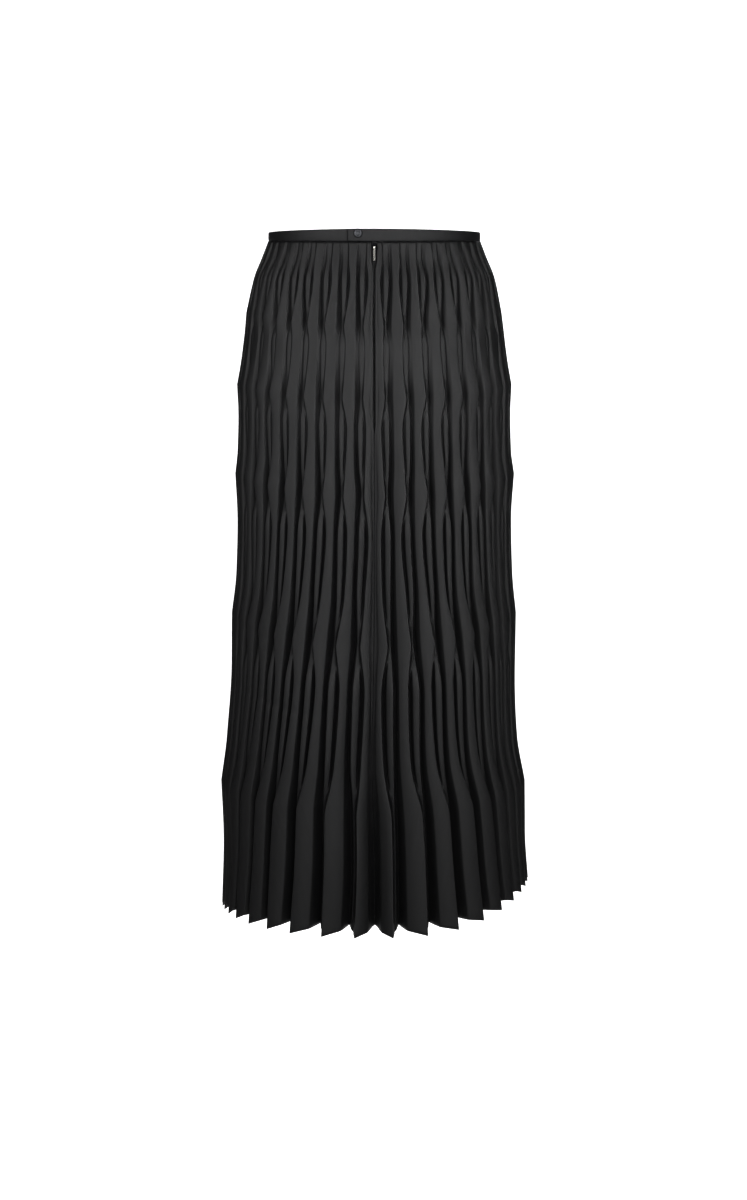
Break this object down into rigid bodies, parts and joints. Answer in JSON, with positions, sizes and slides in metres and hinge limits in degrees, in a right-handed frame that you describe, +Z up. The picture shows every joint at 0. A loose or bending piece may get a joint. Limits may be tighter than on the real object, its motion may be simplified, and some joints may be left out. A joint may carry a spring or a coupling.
{
  "type": "pleated maxi skirt",
  "caption": "Long satin skirt folded into waved pleats, with a narrow lapped waistband, a snap and a centre back zip, filled out as if worn.",
  "frame": {"origin": "middle of the waist opening, halfway up the waistband, where the wearer's waist holds the skirt", "axes": "+Z up along the body, -Y towards the centre back with the zip, which is the pictured side, +X to the right as seen from behind the skirt"},
  "size_m": [0.41, 0.2904, 0.8876],
  "materials": {
    "pleated_satin": "black polyester satin, soft sheen, set folds",
    "band_satin": "black polyester satin, interlined and pressed flat",
    "snap_metal": "gunmetal plated brass, satin",
    "coil_nylon": "black nylon zip coil",
    "zip_metal": "bright nickel plated zinc"
  },
  "bodies": {
    "skirt": {"back_left_panel": "pleated_satin", "back_right_panel": "pleated_satin", "front_panel": "pleated_satin", "waistband": "band_satin", "snap_cap": "snap_metal", "zip_coil": "coil_nylon", "zip_slider": "zip_metal"},
    "pull_tab": {"pull_tab": "zip_metal"}
  },
  "joints": [
    {"name": "pull_tab_swing", "type": "hinge", "parent": "skirt", "child": "pull_tab", "pos_m": [0, -0.09666, -0.01518], "axis": [-1, 0, 0], "range_deg": [0, 155]}
  ]
}
